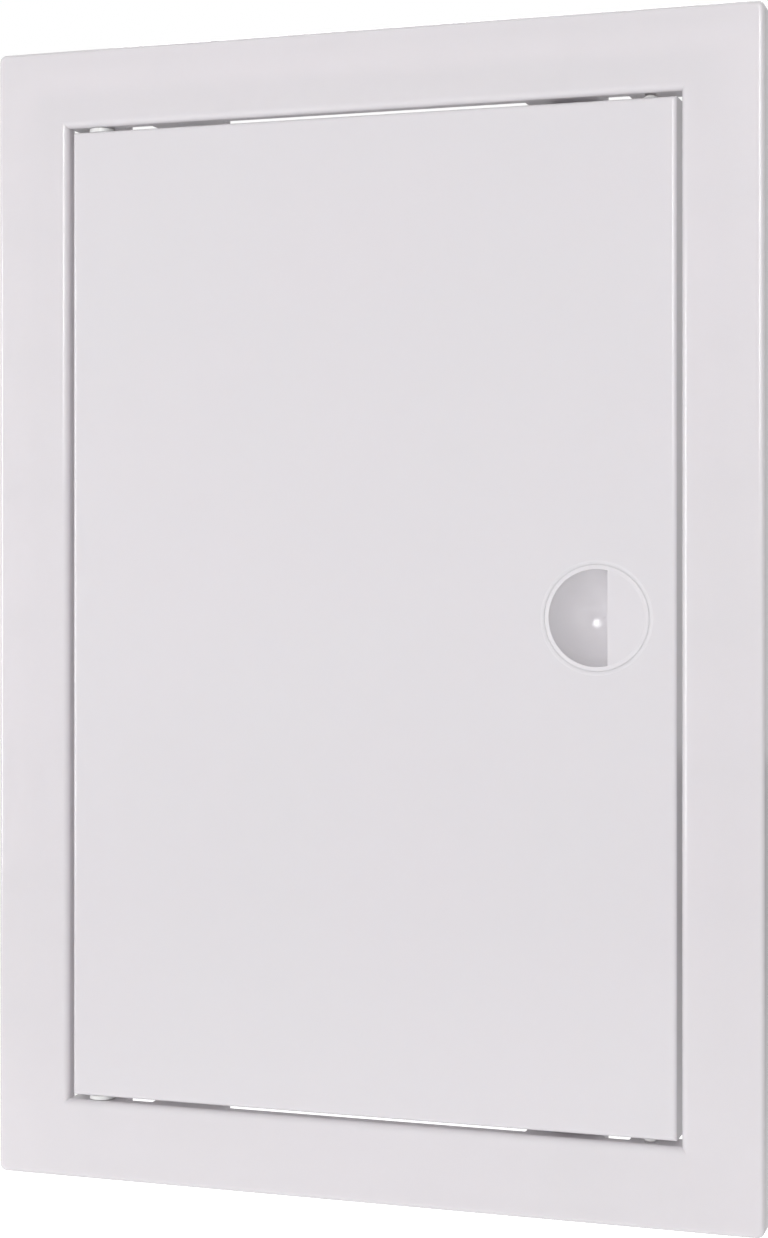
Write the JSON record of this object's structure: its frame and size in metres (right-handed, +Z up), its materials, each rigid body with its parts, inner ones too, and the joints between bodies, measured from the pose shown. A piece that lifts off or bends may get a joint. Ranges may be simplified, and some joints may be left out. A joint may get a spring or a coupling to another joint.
{
  "type": "access panel",
  "caption": "Flanged plastic access panel: a rectangular frame with a collar for a wall or ceiling cut-out and a flush hinged door with a round finger pull.",
  "frame": {"origin": "middle of the opening, on the plane of the wall or ceiling that the frame's rear edge rests on", "axes": "+X to the door's free side, +Y into the wall, +Z up the panel, as in the picture"},
  "size_m": [0.218, 0.023, 0.318],
  "materials": {
    "frame_abs": "moulded satin gloss",
    "door_abs": "moulded satin gloss",
    "cup_abs": "polished",
    "pin_acetal": "smooth"
  },
  "bodies": {
    "frame": {"frame": "frame_abs"},
    "door": {"door": "door_abs", "pull_bezel": "door_abs", "pull_cup": "cup_abs", "hinge_pin_upper": "pin_acetal", "hinge_pin_lower": "pin_acetal", "catch_stud_upper": "pin_acetal", "catch_stud_lower": "pin_acetal"}
  },
  "joints": [
    {"name": "door_hinge", "type": "hinge", "parent": "frame", "child": "door", "pos_m": [-0.0788, -0.00245, 0], "axis": [0, 0, -1], "range_deg": [0, 125]}
  ]
}
